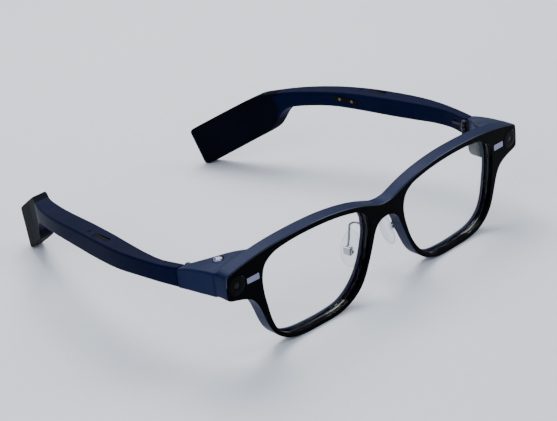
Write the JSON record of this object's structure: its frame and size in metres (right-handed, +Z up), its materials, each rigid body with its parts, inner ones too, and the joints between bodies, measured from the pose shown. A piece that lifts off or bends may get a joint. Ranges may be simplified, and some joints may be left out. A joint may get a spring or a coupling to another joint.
{
  "type": "smart glasses",
  "caption": "Full-rim smart glasses with display waveguides, a camera pod, folding temples with battery tips, a shutter button and rocking nose pads.",
  "frame": {"origin": "middle of the bounding box in plan, at the height of the table it stands on", "axes": "+X to the wearer's left, +Y from the front towards the ear tips, +Z up, standing open on a table on the rims and ear tips"},
  "size_m": [0.1568, 0.1612, 0.0397],
  "materials": {
    "gloss_black": "gloss",
    "satin_navy": "satin",
    "dark_matte": "matte",
    "clear_lens": "clear",
    "window_glass": "polished",
    "steel": "brushed",
    "silicone": "translucent",
    "circuit": "solder mask",
    "copper_flex": "polyimide",
    "gold": "plated",
    "battery_wrap": "film",
    "button_blue": "satin"
  },
  "bodies": {
    "front": {"bridge_cable": "copper_flex", "button_switch": "steel", "camera_module": "dark_matte", "display_board": "circuit", "frame_hinge_left": "steel", "frame_hinge_right": "steel", "front_frame": "gloss_black", "hinge_screw_left": "steel", "hinge_screw_right": "steel", "lens_left": "clear_lens", "lens_right": "clear_lens", "light_engine_left": "dark_matte", "light_engine_right": "dark_matte", "light_sensor": "dark_matte", "main_board": "circuit", "pad_arm_left": "steel", "pad_arm_right": "steel", "pad_box_left": "steel", "pad_box_right": "steel", "pad_screw_left": "steel", "pad_screw_right": "steel", "pod_left": "satin_navy", "pod_right": "satin_navy", "rear_cover": "satin_navy", "rivet_left": "steel", "rivet_right": "steel", "waveguide_left": "clear_lens", "waveguide_right": "clear_lens", "window_left": "window_glass", "window_right": "window_glass"},
    "shutter": {"shutter_button": "button_blue"},
    "temple_arm_right": {"temple_right": "satin_navy", "temple_lid_right": "satin_navy", "battery_right": "battery_wrap", "speaker_right": "dark_matte", "temple_board_right": "circuit", "speaker_grille_right": "dark_matte", "microphone_right": "dark_matte", "temple_hinge_right": "steel", "touch_strip": "copper_flex"},
    "temple_arm_left": {"temple_left": "satin_navy", "temple_lid_left": "satin_navy", "battery_left": "battery_wrap", "speaker_left": "dark_matte", "temple_board_left": "circuit", "speaker_grille_left": "dark_matte", "microphone_left": "dark_matte", "temple_hinge_left": "steel", "charge_plate": "dark_matte", "charge_pin_front": "gold", "charge_pin_rear": "gold"},
    "pad_right": {"nose_pad_right": "silicone"},
    "pad_left": {"nose_pad_left": "silicone"}
  },
  "joints": [
    {"name": "right_temple_fold", "type": "hinge", "parent": "front", "child": "temple_arm_right", "pos_m": [-0.0695, -0.0553, 0.02997], "axis": [0, 0.0799, -0.9968], "range_deg": [0, 75]},
    {"name": "left_temple_fold", "type": "hinge", "parent": "front", "child": "temple_arm_left", "pos_m": [0.0695, -0.0553, 0.02997], "axis": [0, -0.0799, 0.9968], "range_deg": [0, 84]},
    {"name": "shutter_press", "type": "slide", "parent": "front", "child": "shutter", "axis": [0, 0.0799, -0.9968], "range_m": [0, 0.0004], "stiffness_N_per_m": 400, "springref_m": -0.0002},
    {"name": "right_pad_rock", "type": "hinge", "parent": "front", "child": "pad_right", "pos_m": [-0.0115, -0.07034, 0.01672], "axis": [0, 0.9968, 0.0799], "range_deg": [-6, 6], "stiffness_Nm_per_rad": 0.01},
    {"name": "left_pad_rock", "type": "hinge", "parent": "front", "child": "pad_left", "pos_m": [0.0115, -0.07034, 0.01672], "axis": [0, 0.9968, 0.0799], "range_deg": [-6, 6], "stiffness_Nm_per_rad": 0.01}
  ]
}
